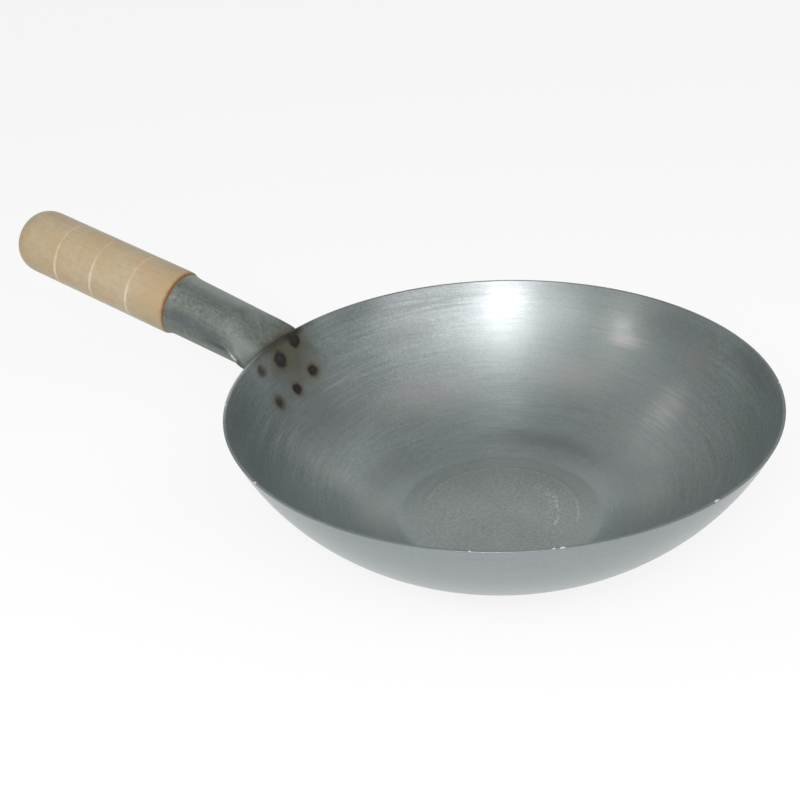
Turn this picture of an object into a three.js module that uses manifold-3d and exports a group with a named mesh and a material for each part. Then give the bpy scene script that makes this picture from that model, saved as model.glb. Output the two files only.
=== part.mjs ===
// A single-handled, flat-bottomed wok: a spun steel bowl, a rolled steel handle socket that is spot-welded
// to the outside of the bowl, and a turned wooden grip driven into the socket and held by a nail.
// Millimetres, +Z up. The origin is the centre of the base's underside, and the handle points along -X.

import * as THREE from 'three';
import { mergeVertices } from 'three/addons/utils/BufferGeometryUtils.js';
import Module from 'manifold-3d';

const wasm = await Module();
wasm.setup();

const { lerp, smoothstep, degToRad } = THREE.MathUtils;

// Bowl
const rimDiameter = 305;
const bowlDepth = 82.5;
const baseDiameter = 120;
const wallBulge = 15; // how far the wall bows out from the straight line between base edge and rim
const baseCorner = 20; // outside radius of the bend between base and wall
const bowlSheet = 1.5;

// Handle socket
const socketSheet = 1.2;
const socketTilt = degToRad(16.5); // above the horizontal
const socketRoll = degToRad(2.5); // about its own axis: its +Y side sits higher
const socketDrop = 1.8; // from the rim down to the socket's axis, where the axis crosses the rim
const socketLength = 67; // along the axis, from the rim to the mouth
const roundLength = 41; // from the mouth to the slits that part the upper half from the lower
const mouthDiameter = 38.2;
const neckDiameter = 36; // of the round tube, if it ran on to the rim
const mouthLip = 0.6; // how far the mouth is belled out
const mouthLipLength = 5;
const seamGap = 1.2; // between the two edges of the rolled sheet, under the tube
const crownHeight = 2; // top of the opened upper half above the rim
const neckCorner = 3; // from the rim down to the edges of the opened upper half
const archSquareness = 3.5; // of the opened upper half: 2 is an ellipse, more is squarer

// Weld flange, the tab of the socket's sheet that lies against the bowl
const flangeWidth = 56;
const flangeDepth = 35.5; // from the rim to the flange's lower edge
const flangeCorner = 10;

// Spot welds
const nuggetDiameter = 6;
const nuggetShare = 0.5; // share of each sheet's thickness that the weld has fused
const electrodeDiameter = 7;
const electrodeDent = 0.2;
const weldInset = 8; // flange edge or rim to the weld's centre

// Wooden grip
const gripDiameter = 41.6;
const gripLength = 124.5; // socket mouth to the tip
const gripDroop = degToRad(1.7); // the grip sits a little below the socket's line
const gripDome = 17; // length of the rounded end
const gripDomeFullness = 2.35; // 2 is an ellipse, more is squarer
const gripEdge = 1.5; // radius on the shoulder's edge
const spigotLength = 33;
const spigotChamfer = 2;
const ringCount = 3;
const ringStart = 28.4; // socket mouth to the first scribed ring
const ringSpacing = 28.4;
const ringWidth = 1.4;
const ringDepth = 0.4;

// Nail
const nailPlace = 17; // from the mouth, along the tube
const nailTurn = degToRad(140); // round from the top of the tube, towards +Y
const nailLength = 16;
const nailDiameter = 2.2;
const nailHead = 5.5;
const nailHeadHeight = 1.2;
const nailHeadEdge = 0.6; // height of the head's rim, below its crown
const nailPoint = 3;

// Clearance between pieces that touch
const fitGap = 0.3;

// Facets
const bowlSides = 92;
const wallSteps = 8;
const cornerSteps = 2;
const quarterSides = 10;
const lipSteps = 3;
const tubeSteps = 6;
const archSteps = 16;
const flangeCornerSteps = 6;
const gripSides = 40;
const gripEdgeSteps = 3;
const domeSteps = 6;
const crownSteps = 3;
const smallSides = 16;

const steel = { color: 0x8d979c, roughness: 0.42, metalness: 1 };
const socketSteel = { color: 0x7c8480, roughness: 0.5, metalness: 1 };
const burntSteel = { color: 0x2c2723, roughness: 0.7, metalness: 0.8 };
const paleWood = { color: 0xc7ab82, roughness: 0.7, metalness: 0 };
const nailSteel = { color: 0x6f7274, roughness: 0.45, metalness: 1 };

// Half-section of the bowl's outer face: x is the radius and y the height. The wall is one arc from the base
// edge to the rim, and a smaller arc inside it rounds the corner to the flat base.
const rimRadius = rimDiameter / 2;
const baseEdge = new THREE.Vector2(baseDiameter / 2, 0);
const chord = new THREE.Vector2(rimRadius, bowlDepth).sub(baseEdge);
const wallRadius = (chord.lengthSq() / 4 + wallBulge ** 2) / (2 * wallBulge);
const chordNormal = new THREE.Vector2(-chord.y, chord.x).normalize();
const chordMiddle = baseEdge.clone().addScaledVector(chord, 1 / 2);
const wallCentre = chordMiddle.addScaledVector(chordNormal, wallRadius - wallBulge);
const cornerReach = Math.sqrt((wallRadius - baseCorner) ** 2 - (wallCentre.y - baseCorner) ** 2);
const cornerCentre = new THREE.Vector2(wallCentre.x + cornerReach, baseCorner);
const wallStart = cornerCentre.clone().sub(wallCentre).angle() - 2 * Math.PI;

function arc(centre, radius, from, to, steps) {
  const points = [];
  for (let step = 0; step <= steps; step++) {
    const angle = lerp(from, to, step / steps);
    points.push(new THREE.Vector2(centre.x + radius * Math.cos(angle), centre.y + radius * Math.sin(angle)));
  }
  return points;
}

// Angle on the wall's arc at a height, on a face that lies outside the bowl's outer face by an offset.
function wallAngle(height, offset) {
  return Math.asin((height - wallCentre.y) / (wallRadius + offset));
}

// Points from the edge of the flat base up to the rim, on a face outside the bowl's outer face by an offset.
function bowlFace(offset) {
  const corner = arc(cornerCentre, baseCorner + offset, -Math.PI / 2, wallStart, cornerSteps);
  const wall = arc(wallCentre, wallRadius + offset, wallStart, wallAngle(bowlDepth, offset), wallSteps);
  return [...corner, ...wall.slice(1)];
}

// A turned body about +Z. The profile runs with the outside of the body on its right-hand side.
function turned(profile, sides) {
  return new THREE.LatheGeometry(profile, sides).rotateX(Math.PI / 2);
}

// Points on a quarter of an oval, from the widest radius at its foot to the axis at its top.
function dome(foot, radius, height, fullness, steps) {
  const points = [];
  for (let step = 0; step < steps; step++) {
    const turn = (Math.PI / 2) * (step / steps);
    const out = Math.cos(turn) ** (2 / fullness);
    const up = Math.sin(turn) ** (2 / fullness);
    points.push(new THREE.Vector2(radius * out, foot + height * up));
  }
  points.push(new THREE.Vector2(0, foot + height));
  return points;
}

// Closed geometry to a solid that can be joined and cut.
function toSolid(geometry) {
  const mergeDistance = 1e-4;
  const bare = geometry.clone();
  bare.deleteAttribute('normal');
  bare.deleteAttribute('uv');
  const merged = mergeVertices(bare, mergeDistance);
  const index = merged.index.array;
  const triangles = [];
  for (let i = 0; i < index.length; i += 3) {
    const [a, b, c] = index.slice(i, i + 3);
    if (a !== b && b !== c && c !== a) triangles.push(a, b, c);
  }
  const vertProperties = new Float32Array(merged.attributes.position.array);
  return new wasm.Manifold(new wasm.Mesh({ numProp: 3, vertProperties, triVerts: new Uint32Array(triangles) }));
}

function toGeometry(solid) {
  const { vertProperties, triVerts } = solid.getMesh();
  const geometry = new THREE.BufferGeometry();
  geometry.setAttribute('position', new THREE.BufferAttribute(vertProperties, 3));
  geometry.setIndex(new THREE.BufferAttribute(triVerts, 1));
  geometry.computeVertexNormals();
  return geometry;
}

function makeMesh(name, geometry, finish) {
  const mesh = new THREE.Mesh(geometry, new THREE.MeshStandardMaterial(finish));
  mesh.name = name;
  return mesh;
}

// A plain round cutter along +Z between two heights.
function roundCutter(diameter, low, high) {
  const radius = diameter / 2;
  const profile = [[0, low], [radius, low], [radius, high], [0, high]];
  return turned(profile.map(([x, y]) => new THREE.Vector2(x, y)), smallSides);
}

const group = new THREE.Group();

// The handle's frame: the origin is the centre of the socket's mouth, +Z runs out along the socket and +X is
// on its upper side.
const handle = new THREE.Group();
const neckHeight = bowlDepth - socketDrop;
handle.position.set(
  -rimRadius - socketLength * Math.cos(socketTilt),
  0,
  neckHeight + socketLength * Math.sin(socketTilt),
);
handle.rotation.set(0, socketTilt - Math.PI / 2, -socketRoll);
handle.updateMatrix();
group.add(handle);

// Spot welds, two rows of three. They are made by hand, so each is a little off the grid: sideways and down.
const weldSpots = [
  { name: 'weld_upper_far', column: 1, row: 0, scatter: [-1, -2.8] },
  { name: 'weld_upper_middle', column: 0, row: 0, scatter: [0.8, 0.6] },
  { name: 'weld_upper_near', column: -1, row: 0, scatter: [0, 0.4] },
  { name: 'weld_lower_far', column: 1, row: 1, scatter: [0.2, -2.3] },
  { name: 'weld_lower_middle', column: 0, row: 1, scatter: [0.2, 1] },
  { name: 'weld_lower_near', column: -1, row: 1, scatter: [-0.6, 0] },
];

// Each weld's frame lies on the bowl's outer face, with +Z straight out of the sheet.
for (const spot of weldSpots) {
  const sideways = spot.column * (flangeWidth / 2 - weldInset) + spot.scatter[0];
  const drop = (spot.row === 0 ? weldInset : flangeDepth - weldInset) + spot.scatter[1];
  const rise = wallAngle(bowlDepth - drop, 0);
  const radius = wallCentre.x + wallRadius * Math.cos(rise);
  const turn = Math.PI - Math.asin(sideways / radius);
  const place = new THREE.Vector3(radius * Math.cos(turn), radius * Math.sin(turn), bowlDepth - drop);
  const outward = new THREE.Vector3(
    Math.cos(rise) * Math.cos(turn), Math.cos(rise) * Math.sin(turn), Math.sin(rise));
  const facing = new THREE.Quaternion().setFromUnitVectors(new THREE.Vector3(0, 0, 1), outward);
  spot.matrix = new THREE.Matrix4().compose(place, facing, new THREE.Vector3(1, 1, 1));
}

// The flange's inner and outer faces, as distances out from the bowl's outer face.
const flangeInner = fitGap;
const flangeOuter = fitGap + socketSheet;
const bowlFused = bowlSheet * nuggetShare;
const flangeFused = socketSheet * nuggetShare;

// Bowl: the sheet turned about its axis, with a pocket in its outer face for each weld nugget and the dent
// of the electrode in its inner face.
function bowlGeometry() {
  const profile = [
    new THREE.Vector2(0, 0),
    ...bowlFace(0),
    ...bowlFace(-bowlSheet).reverse(),
    new THREE.Vector2(0, bowlSheet),
  ];
  let bowl = toSolid(turned(profile, bowlSides));
  for (const { matrix } of weldSpots) {
    const pocket = roundCutter(nuggetDiameter + 2 * fitGap, -bowlFused, bowlSheet);
    const dent = roundCutter(electrodeDiameter, -2 * bowlSheet, electrodeDent - bowlSheet);
    bowl = bowl.subtract(toSolid(pocket.applyMatrix4(matrix))).subtract(toSolid(dent.applyMatrix4(matrix)));
  }
  return toGeometry(bowl);
}

// Section of the round tube at mid thickness, some way along from the mouth.
function roundSection(along) {
  const lip = mouthLip * (1 - smoothstep(along, 0, mouthLipLength));
  const radius = lerp(mouthDiameter, neckDiameter, along / socketLength) / 2 + lip - socketSheet / 2;
  return { halfWidth: radius, rise: radius, sink: 0, squareness: 2, seamTurn: Math.PI - seamGap / 2 / radius };
}

// Section of the tube's upper half beyond the slits: it opens from the half circle to a wide, low arch.
function archSection(along) {
  const round = roundSection(along);
  const flat = smoothstep(along, roundLength, socketLength);
  return {
    halfWidth: lerp(round.halfWidth, (flangeWidth - socketSheet) / 2, flat),
    rise: lerp(round.rise, neckCorner + crownHeight - socketSheet / 2, flat),
    sink: lerp(0, neckCorner - socketDrop, flat),
    squareness: lerp(round.squareness, archSquareness, flat),
  };
}

// Point of a section: x is up and y is sideways, at an angle round from the top.
function sectionPoint(section, turn) {
  const power = 2 / section.squareness;
  const x = Math.sign(Math.cos(turn)) * section.rise * Math.abs(Math.cos(turn)) ** power - section.sink;
  const y = Math.sign(Math.sin(turn)) * section.halfWidth * Math.abs(Math.sin(turn)) ** power;
  return new THREE.Vector2(x, y);
}

// The same point moved out of the sheet's middle, square to the sheet.
function facePoint(section, turn, offset) {
  const nudge = 1e-3;
  const tangent = sectionPoint(section, turn + nudge).sub(sectionPoint(section, turn - nudge)).normalize();
  const outward = new THREE.Vector2(tangent.y, -tangent.x);
  return sectionPoint(section, turn).addScaledVector(outward, offset);
}

function spread(from, to, steps) {
  return Array.from({ length: steps + 1 }, (_, step) => lerp(from, to, step / steps));
}

// A stretch of rolled sheet in the handle's frame: an outer and an inner skin over some stations along the
// tube and some angles round it, closed along all four edges.
function rolledSheet(stations, sectionAt, turnsAt) {
  const positions = [];
  for (const offset of [socketSheet / 2, -socketSheet / 2]) {
    for (const along of stations) {
      const section = sectionAt(along);
      for (const turn of turnsAt(along)) {
        const { x, y } = facePoint(section, turn, offset);
        positions.push(x, y, -along);
      }
    }
  }
  const columns = turnsAt(stations[0]).length;
  const rows = stations.length;
  const index = [];
  const addQuad = (a, b, c, d) => index.push(a, b, c, a, c, d);
  const outer = (row, column) => row * columns + column;
  const inner = (row, column) => (rows + row) * columns + column;
  const lastRow = rows - 1;
  const lastColumn = columns - 1;
  for (let row = 0; row < lastRow; row++) {
    const below = row + 1;
    for (let column = 0; column < lastColumn; column++) {
      const next = column + 1;
      addQuad(outer(row, column), outer(below, column), outer(below, next), outer(row, next));
      addQuad(inner(row, column), inner(row, next), inner(below, next), inner(below, column));
    }
    addQuad(outer(row, 0), inner(row, 0), inner(below, 0), outer(below, 0));
    addQuad(outer(row, lastColumn), outer(below, lastColumn), inner(below, lastColumn), inner(row, lastColumn));
  }
  for (let column = 0; column < lastColumn; column++) {
    const next = column + 1;
    addQuad(outer(0, column), outer(0, next), inner(0, next), inner(0, column));
    addQuad(outer(lastRow, column), inner(lastRow, column), inner(lastRow, next), outer(lastRow, next));
  }
  const geometry = new THREE.BufferGeometry();
  geometry.setAttribute('position', new THREE.Float32BufferAttribute(positions, 3));
  geometry.setIndex(index);
  return toSolid(geometry);
}

// The rolled socket before trimming. Up to the slits it is a round tube with a seam underneath. Beyond them the
// upper half opens into an arch and the two lower quarters stay round. All run on past the rim.
function rolledSocket() {
  const side = Math.PI / 2;
  const end = socketLength + neckDiameter;
  const seamTurn = (along) => roundSection(along).seamTurn;
  const upper = spread(-side, side, 2 * quarterSides);
  const lowerFar = (along) => spread(side, seamTurn(along), quarterSides);
  const lowerNear = (along) => spread(-seamTurn(along), -side, quarterSides);
  const wholeTurn = (along) => [...lowerNear(along), ...upper.slice(1), ...lowerFar(along).slice(1)];
  const lip = spread(0, mouthLipLength, lipSteps);
  const tubeStations = [...lip, ...spread(mouthLipLength, roundLength, tubeSteps).slice(1)];
  const endStations = spread(roundLength, end, archSteps);
  return rolledSheet(tubeStations, roundSection, wholeTurn)
    .add(rolledSheet(endStations, archSection, () => upper))
    .add(rolledSheet(endStations, roundSection, lowerFar))
    .add(rolledSheet(endStations, roundSection, lowerNear));
}

// The flange: a ring of sheet that follows the bowl's outer face, kept only inside the flange's outline. The
// outline's upper edge is the flattened end's own arch, so that tab and tube are one sheet and roll together.
function flangeSolid() {
  const low = bowlDepth - flangeDepth - flangeCorner;
  const high = bowlDepth + neckCorner;
  const face = (offset) =>
    arc(wallCentre, wallRadius + offset, wallAngle(low, offset), wallAngle(high, offset), wallSteps);
  const loop = [...face(flangeOuter), ...face(flangeInner).reverse()];
  loop.push(loop[0].clone());
  const ring = toSolid(turned(loop, bowlSides));

  const arch = archSection(socketLength);
  const bottom = bowlDepth - flangeDepth;
  const half = flangeWidth / 2;
  const outline = new THREE.Shape();
  outline.moveTo(half, bowlDepth - neckCorner);
  for (const turn of spread(Math.PI / 2, -Math.PI / 2, 4 * quarterSides).slice(1, -1)) {
    const { x, y } = sectionPoint(arch, turn);
    outline.lineTo(y, neckHeight + x);
  }
  outline.lineTo(-half, bowlDepth - neckCorner);
  outline.lineTo(-half, bottom + flangeCorner);
  outline.absarc(-half + flangeCorner, bottom + flangeCorner, flangeCorner, Math.PI, 1.5 * Math.PI);
  outline.lineTo(half - flangeCorner, bottom);
  outline.absarc(half - flangeCorner, bottom + flangeCorner, flangeCorner, 1.5 * Math.PI, 2 * Math.PI);
  const reach = rimRadius + flangeWidth;
  const block = new THREE.ExtrudeGeometry(
    outline, { depth: reach, bevelEnabled: false, curveSegments: flangeCornerSteps });
  const alongX = new THREE.Matrix4().makeBasis(
    new THREE.Vector3(0, 1, 0), new THREE.Vector3(0, 0, 1), new THREE.Vector3(1, 0, 0));
  block.applyMatrix4(alongX).translate(-reach, 0, -neckHeight).rotateX(socketRoll).translate(0, 0, neckHeight);
  return ring.intersect(toSolid(block));
}

// The nail's frame, inside the handle's: on the tube's outside, with +Z straight out of it.
const nail = new THREE.Group();
const nailSeat = lerp(mouthDiameter, neckDiameter, nailPlace / socketLength) / 2 + fitGap;
nail.position.set(nailSeat * Math.cos(nailTurn), nailSeat * Math.sin(nailTurn), -nailPlace);
nail.rotation.set(0, Math.PI / 2, nailTurn, 'ZYX');
nail.updateMatrix();
handle.add(nail);

function nailHole() {
  return roundCutter(nailDiameter + 2 * fitGap, -nailLength - fitGap, nailHeadHeight).applyMatrix4(nail.matrix);
}

// Socket: tube and flange in one sheet, trimmed where the bowl stands, with the welds' pockets and dents.
function socketGeometry() {
  const rim = bowlFace(flangeInner).at(-1);
  const above = bowlDepth + mouthDiameter;
  const bowlSpace = [
    new THREE.Vector2(0, -flangeInner),
    ...bowlFace(flangeInner),
    new THREE.Vector2(rim.x, above),
    new THREE.Vector2(0, above),
  ];
  let socket = rolledSocket().subtract(toSolid(nailHole())).transform(handle.matrix.elements);
  socket = socket.add(flangeSolid()).subtract(toSolid(turned(bowlSpace, bowlSides)));
  for (const { matrix } of weldSpots) {
    const pocket = roundCutter(nuggetDiameter + 2 * fitGap, -bowlSheet, flangeInner + flangeFused);
    const dent = roundCutter(electrodeDiameter, flangeOuter - electrodeDent, flangeOuter + socketSheet);
    socket = socket.subtract(toSolid(pocket.applyMatrix4(matrix))).subtract(toSolid(dent.applyMatrix4(matrix)));
  }
  return toGeometry(socket);
}

// Weld nugget: the button of fused steel between bowl and flange.
function nuggetGeometry() {
  return roundCutter(nuggetDiameter, fitGap - bowlFused, flangeInner + flangeFused - fitGap);
}

// The grip's frame, inside the handle's: it starts at the socket's mouth and droops a little.
const grip = new THREE.Group();
grip.rotation.y = -gripDroop;
grip.updateMatrix();
handle.add(grip);

// Grip: turned from one piece, with a tapered spigot, a square shoulder, scribed rings and a full round end.
// The shoulder and the spigot both leave room for the droop.
function gripGeometry() {
  const radius = gripDiameter / 2;
  const shoulder = fitGap + (mouthDiameter / 2 + mouthLip) * Math.sin(gripDroop);
  const boreAt = (along) => lerp(mouthDiameter, neckDiameter, along / socketLength) / 2 - socketSheet;
  const spigotRoot = boreAt(0) - fitGap;
  const spigotEnd = boreAt(spigotLength) - fitGap - spigotLength * Math.tan(gripDroop);
  const profile = [
    new THREE.Vector2(0, -spigotLength),
    new THREE.Vector2(spigotEnd - spigotChamfer, -spigotLength),
    new THREE.Vector2(spigotEnd, spigotChamfer - spigotLength),
    new THREE.Vector2(spigotRoot, shoulder),
    ...arc(new THREE.Vector2(radius - gripEdge, shoulder + gripEdge), gripEdge, -Math.PI / 2, 0, gripEdgeSteps),
  ];
  for (let ring = 0; ring < ringCount; ring++) {
    const middle = ringStart + ring * ringSpacing;
    profile.push(new THREE.Vector2(radius, middle - ringWidth / 2));
    profile.push(new THREE.Vector2(radius - ringDepth, middle));
    profile.push(new THREE.Vector2(radius, middle + ringWidth / 2));
  }
  profile.push(...dome(gripLength - gripDome, radius, gripDome, gripDomeFullness, domeSteps));
  const intoGrip = grip.matrix.clone().invert();
  const body = toSolid(turned(profile, gripSides));
  return toGeometry(body.subtract(toSolid(nailHole().applyMatrix4(intoGrip))));
}

// Nail: a low round head outside the tube and a pointed shank through it into the spigot.
function nailGeometry() {
  const shank = nailDiameter / 2;
  const head = nailHead / 2;
  const profile = [
    new THREE.Vector2(0, -nailLength),
    new THREE.Vector2(shank, nailPoint - nailLength),
    new THREE.Vector2(shank, 0),
    new THREE.Vector2(head, 0),
    ...dome(nailHeadEdge, head, nailHeadHeight - nailHeadEdge, 2, crownSteps),
  ];
  return turned(profile, smallSides);
}

group.add(makeMesh('wok_bowl', bowlGeometry(), steel));
group.add(makeMesh('handle_socket', socketGeometry(), socketSteel));
grip.add(makeMesh('wood_grip', gripGeometry(), paleWood));
nail.add(makeMesh('grip_nail', nailGeometry(), nailSteel));
for (const { name, matrix } of weldSpots) {
  const weld = makeMesh(name, nuggetGeometry(), burntSteel);
  weld.applyMatrix4(matrix);
  group.add(weld);
}

export default group;
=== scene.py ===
import math

import bmesh
import bpy
import numpy as np
from mathutils import Matrix, Quaternion, Vector


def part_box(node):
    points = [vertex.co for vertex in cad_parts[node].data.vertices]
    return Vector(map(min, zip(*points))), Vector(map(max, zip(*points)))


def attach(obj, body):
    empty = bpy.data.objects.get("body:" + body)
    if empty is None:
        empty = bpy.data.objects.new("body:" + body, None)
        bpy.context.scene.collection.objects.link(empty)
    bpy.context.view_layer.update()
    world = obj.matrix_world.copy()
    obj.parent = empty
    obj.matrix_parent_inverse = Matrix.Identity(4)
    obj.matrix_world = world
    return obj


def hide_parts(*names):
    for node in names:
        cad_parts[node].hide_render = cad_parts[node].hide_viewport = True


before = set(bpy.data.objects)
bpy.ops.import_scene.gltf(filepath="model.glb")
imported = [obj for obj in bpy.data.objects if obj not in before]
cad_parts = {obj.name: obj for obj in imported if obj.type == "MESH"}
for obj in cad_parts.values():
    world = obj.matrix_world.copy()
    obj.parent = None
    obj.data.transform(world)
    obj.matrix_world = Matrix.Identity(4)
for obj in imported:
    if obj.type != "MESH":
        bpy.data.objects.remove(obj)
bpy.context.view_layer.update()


# Bowl. One disc of carbon steel, spun over a former to a shallow bowl with a flat base and a plain, trimmed
# rim. The spinning tool leaves fine rings all over it, and the handle's spot welds press small dents into its
# inside and burn the steel dark around them.

bowl_low, bowl_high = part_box("wok_bowl")
rim_radius = (bowl_high.x - bowl_low.x) / 2
bowl_depth = bowl_high.z - bowl_low.z
bowl_sheet = 0.0015
base_radius = 0.060
base_corner = 0.020  # outside radius of the bend between base and wall
wall_bulge = 0.015  # how far the wall bows out from the straight line between base edge and rim
rim_edge = 0.0004  # rounding of the trimmed rim's two edges
rim_steps = 4
corner_steps = 8
below_welds = 0.044  # height above which the inside has the fine rows that the weld dents need

chord = np.array([rim_radius - base_radius, bowl_depth])
wall_radius = (chord @ chord / 4 + wall_bulge**2) / (2 * wall_bulge)
chord_normal = np.array([-chord[1], chord[0]]) / np.linalg.norm(chord)
wall_centre = np.array([base_radius, 0]) + chord / 2 + chord_normal * (wall_radius - wall_bulge)
corner_reach = math.sqrt((wall_radius - base_corner) ** 2 - (wall_centre[1] - base_corner) ** 2)
corner_centre = np.array([wall_centre[0] + corner_reach, base_corner])
wall_start = math.atan2(corner_centre[1] - wall_centre[1], corner_centre[0] - wall_centre[0])


def arc(centre, radius, start, end, steps):
    """Points on an arc of a half-section: the first number is the radius, the second the height."""
    angles = np.linspace(start, end, steps + 1)
    return np.stack([centre[0] + radius * np.cos(angles), centre[1] + radius * np.sin(angles)], axis=1)


def wall_angle(height, offset):
    """Angle on the wall's arc at a height, on a face that lies outside the bowl's outer face by an offset."""
    return np.arcsin((height - wall_centre[1]) / (wall_radius + offset))


def wall_reach(height, offset):
    """Radius of that face at a height."""
    return wall_centre[0] + (wall_radius + offset) * np.cos(wall_angle(height, offset))


def rounded(before, corner, after, size, steps):
    """The corner of an outline, rounded to about that size."""
    start = corner + (before - corner) / np.linalg.norm(before - corner) * size
    end = corner + (after - corner) / np.linalg.norm(after - corner) * size
    along = np.linspace(0, 1, steps + 1)[:, None]
    return (1 - along) ** 2 * start + 2 * along * (1 - along) * corner + along**2 * end


def bowl_face(offset, change_height, lower_steps, upper_steps):
    """Points from the edge of the flat base to the rim. The wall's steps change size at a height."""
    change = wall_angle(change_height, offset)
    corner = arc(corner_centre, base_corner + offset, -math.pi / 2, wall_start, corner_steps)
    lower = arc(wall_centre, wall_radius + offset, wall_start, change, lower_steps)
    upper = arc(wall_centre, wall_radius + offset, change, wall_angle(bowl_depth, offset), upper_steps)
    return np.concatenate([corner, lower[1:], upper[1:]])


# Rings that the spinning block pressed into the inside: radius, width and height. The first two lie on the
# flat base and get rows of their own.
block_rings = ((0.0340, 0.0008, -0.00003), (0.0460, 0.0012, 0.00008), (0.0665, 0.0010, -0.00006))
base_steps = np.linspace(0, corner_centre[0], 24)
ring_steps = [radius + width * np.linspace(-2, 2, 9) for radius, width, _ in block_rings[:2]]
base_radii = np.unique(np.concatenate([base_steps, *ring_steps]))[:-1]

outer_face = bowl_face(0, bowl_depth / 2, lower_steps=16, upper_steps=24)
inner_face = bowl_face(-bowl_sheet, below_welds, lower_steps=18, upper_steps=84)
inner_base = np.stack([base_radii, np.full_like(base_radii, bowl_sheet)], axis=1)
inner_side = np.concatenate([inner_base, inner_face])
for radius, width, height in block_rings:
    inner_side[:, 1] += height * np.exp(-(((inner_side[:, 0] - radius) / width) ** 2))

outer_base = np.stack([base_steps[:-1], np.zeros(len(base_steps) - 1)], axis=1)
outer_side = np.concatenate([outer_base, outer_face])
bowl_profile = np.concatenate([
    outer_side[:-1],
    rounded(outer_side[-2], outer_side[-1], inner_side[-1], rim_edge, rim_steps),
    rounded(outer_side[-1], inner_side[-1], inner_side[-2], rim_edge, rim_steps),
    inner_side[-2::-1],
])

# Small burrs that the trimming left on the rim: turn in degrees, half length and height.
rim_burrs = (
    (-70.75, 0.0008, 0.0002),
    (-56.7, 0.0008, 0.0003),
    (-55.2, 0.0009, 0.0004),
    (-24.5, 0.0012, 0.0004),
    (86.0, 0.0012, 0.0003),
    (24.0, 0.0010, 0.0002),
    (-118.0, 0.0010, 0.0003),
    (-151.0, 0.0012, 0.0002),
)

# The columns are close together near the handle, where the welds are, and at the burrs.
weld_sector = math.radians(13)  # to either side of the handle
weld_columns = 106
other_columns = 224
burr_columns = (-0.6, -0.3, 0, 0.3, 0.6)  # degrees from a burr's middle
fine_turns = np.linspace(math.pi - weld_sector, math.pi + weld_sector, weld_columns)
wide_turns = np.linspace(math.pi + weld_sector, 3 * math.pi - weld_sector, other_columns)
burr_turns = [math.radians(turn + 360 + step) for turn, _, _ in rim_burrs for step in burr_columns]
bowl_turns = np.concatenate([fine_turns, np.unique([*wide_turns, *burr_turns])[1:-1]])


def turned(profile, turns):
    """A grid of points: one row for each point of a half-section, one column for each turn about +Z."""
    radii, heights = profile[:, 0, None], profile[:, 1, None]
    across = np.stack([radii * np.cos(turns), radii * np.sin(turns)], axis=2)
    return np.concatenate([across, np.broadcast_to(heights[..., None], (*across.shape[:2], 1))], axis=2)


def turned_mesh(name, grid):
    """A closed mesh from a turned grid whose first and last row lie on the axis."""
    rows, columns = grid.shape[:2]
    last = (rows - 2) * columns + 1
    points = [grid[0, 0], *grid[1:-1].reshape(-1, 3), grid[-1, 0]]
    faces = []
    for column in range(columns):
        after = (column + 1) % columns
        faces.append((0, 1 + after, 1 + column))
        for row in range(rows - 3):
            low, high = 1 + row * columns, 1 + (row + 1) * columns
            faces.append((low + column, low + after, high + after, high + column))
        high = 1 + (rows - 3) * columns
        faces.append((high + column, high + after, last))
    mesh = bpy.data.meshes.new(name)
    mesh.from_pydata([tuple(p) for p in points], [], faces)
    mesh.shade_smooth()
    return mesh


# Burnt weld marks: radius of the dark spot, how far it sits below the weld, how black it is, how bare its
# middle is, how brown its halo is, and how soft its edge is.
weld_marks = {
    "weld_upper_far": (0.0047, 0.0004, 0.96, 0.30, 0.75, 0.0),
    "weld_upper_middle": (0.0054, 0.0020, 0.94, 0.65, 0.80, 0.0),
    "weld_upper_near": (0.0035, 0.0, 0.74, 0.0, 0.40, 0.6),
    "weld_lower_far": (0.0039, 0.0003, 0.95, 0.25, 0.65, 0.1),
    "weld_lower_middle": (0.0038, 0.0003, 1.0, 0.20, 0.6, 0.1),
    "weld_lower_near": (0.0039, 0.0, 0.80, 0.0, 0.55, 0.55),
}
electrode_radius = 0.0035
electrode_dent = 0.0002
dent_lip = 0.00005  # metal raised round the dent
dent_floor = 0.70  # this and the next three are shares of the electrode's radius
dent_edge = 1.05
lip_place = 1.2
lip_width = 0.15


def weld_axis(node):
    """Centre of a weld, and the direction straight out through both sheets there."""
    low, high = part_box(node)
    centre = np.array((low + high) / 2)
    reach = np.hypot(centre[0], centre[1])
    outward = np.array([reach, centre[2]]) - wall_centre
    outward /= np.linalg.norm(outward)
    return centre, np.array([*(centre[:2] / reach * outward[0]), outward[1]])


def dent_depth(points, centre, axis):
    """Depth of an electrode's dent at each point, by its distance from the weld's axis."""
    away = points - centre
    sideways = np.linalg.norm(away - (away @ axis)[..., None] * axis, axis=-1) / electrode_radius
    dish = np.clip((dent_edge - sideways) / (dent_edge - dent_floor), 0, 1)
    lip = np.exp(-(((sideways - lip_place) / lip_width) ** 2))
    return electrode_dent * dish * dish * (3 - 2 * dish) - dent_lip * lip


bowl_grid = turned(bowl_profile, bowl_turns)
first_inner_row = len(outer_side) + 2 * rim_steps
for node in weld_marks:
    centre, axis = weld_axis(node)
    inside = bowl_grid[first_inner_row:]
    inside += dent_depth(inside, centre, axis)[..., None] * axis

# The burrs stand up from the rim.
rim_rows = slice(len(outer_side) - 1, first_inner_row + 1)
for turn, half_length, height in rim_burrs:
    place = rim_radius * np.array([math.cos(math.radians(turn)), math.sin(math.radians(turn))])
    rim = bowl_grid[rim_rows]
    away = np.linalg.norm(rim[..., :2] - place, axis=-1)
    rim[..., 2] += height * np.exp(-((away / half_length) ** 2))


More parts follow.
